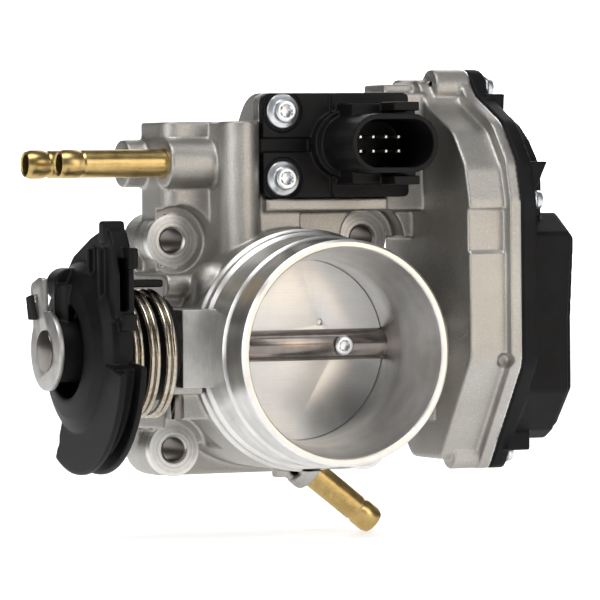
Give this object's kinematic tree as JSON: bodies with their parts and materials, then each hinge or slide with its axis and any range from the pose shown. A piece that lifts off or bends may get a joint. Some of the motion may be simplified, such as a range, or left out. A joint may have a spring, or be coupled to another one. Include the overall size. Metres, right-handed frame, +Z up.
{
  "type": "throttle body",
  "caption": "Cable-driven butterfly throttle body with cable pulley, return spring, coolant and purge pipes, socket, and a gear case with idle motor and position sensor.",
  "frame": {"origin": "centre of the four-bolt pattern on the engine flange's face, on the height of the throttle shaft", "axes": "+X along the throttle shaft from the cable pulley to the gear case, +Y along the air flow out of the engine flange, +Z up"},
  "size_m": [0.1567, 0.0741, 0.133],
  "materials": {
    "cast_aluminium": "as cast, fine grained, machined bright on the flange, spigot and bosses",
    "dark_steel": "dark ground steel",
    "plate_metal": "fine turned satin",
    "zinc_screws": "bright zinc plated",
    "zinc_plate": "satin zinc plated sheet",
    "bearing_steel": "ground",
    "spring_steel": "nickel bright wire with a warm tint",
    "tinned_metal": "tinned",
    "brass": "drawn, satin",
    "seal_rubber": "matt black",
    "black_plastic": "moulded, glass filled",
    "connector_plastic": "moulded, satin",
    "cover_plastic": "moulded, fine texture",
    "gear_plastic": "natural moulded",
    "board": "solder masked"
  },
  "bodies": {
    "body": {"housing": "cast_aluminium", "needle_bearing_left": "bearing_steel", "needle_bearing_right": "bearing_steel", "shaft_seal_left": "seal_rubber", "shaft_seal_right": "seal_rubber", "spring_sleeve": "black_plastic", "return_spring": "spring_steel", "coolant_pipe_front": "brass", "coolant_pipe_rear": "brass", "purge_pipe": "brass", "connector_shell": "connector_plastic", "connector_seal": "seal_rubber", "connector_pins": "tinned_metal", "connector_screws": "zinc_screws", "gear_cover": "cover_plastic", "cover_gasket": "seal_rubber", "cover_screws": "zinc_screws", "motor_can": "zinc_plate", "motor_end_cap": "black_plastic", "motor_bracket": "zinc_plate", "bracket_screws": "zinc_screws", "reduction_axle": "bearing_steel", "axle_washer": "bearing_steel", "segment_spring": "spring_steel", "sensor_board": "board", "spring_post": "dark_steel"},
    "throttle": {"throttle_shaft": "dark_steel", "throttle_plate": "plate_metal", "plate_screws": "zinc_screws", "cable_pulley": "black_plastic", "pulley_bush": "bearing_steel", "end_plate": "zinc_plate", "stop_bumper": "seal_rubber", "shaft_lever": "zinc_plate", "segment_clip": "dark_steel", "wiper_rotor": "black_plastic", "wiper_contacts": "brass"},
    "segment": {"idle_segment": "gear_plastic"},
    "reduction": {"reduction_gear": "gear_plastic"},
    "rotor": {"motor_shaft": "bearing_steel", "motor_pinion": "brass"}
  },
  "joints": [
    {"name": "throttle_turn", "type": "hinge", "parent": "body", "child": "throttle", "pos_m": [0, -0.0393, 0], "axis": [1, 0, 0], "range_deg": [0, 84], "stiffness_Nm_per_rad": 0.02, "springref_deg": -40.11, "deforming": ["return_spring"]},
    {"name": "idle_segment_turn", "type": "hinge", "parent": "body", "child": "segment", "pos_m": [0, -0.0393, 0], "axis": [1, 0, 0], "range_deg": [-12, 0], "stiffness_Nm_per_rad": 0.01, "springref_deg": 28.65, "deforming": ["segment_spring"]},
    {"name": "reduction_turn", "type": "hinge", "parent": "body", "child": "reduction", "pos_m": [0, -0.03202, 0.03423], "axis": [1, 0, 0], "range_deg": [-1, 49]},
    {"name": "motor_turn", "type": "hinge", "parent": "body", "child": "rotor", "pos_m": [0, -0.0174, 0.05693], "axis": [1, 0, 0], "range_deg": [-214, 3]}
  ],
  "couplings": [
    {"joint": "reduction_turn", "follows": "idle_segment_turn", "ratio": -4},
    {"joint": "motor_turn", "follows": "idle_segment_turn", "ratio": 17.6}
  ]
}
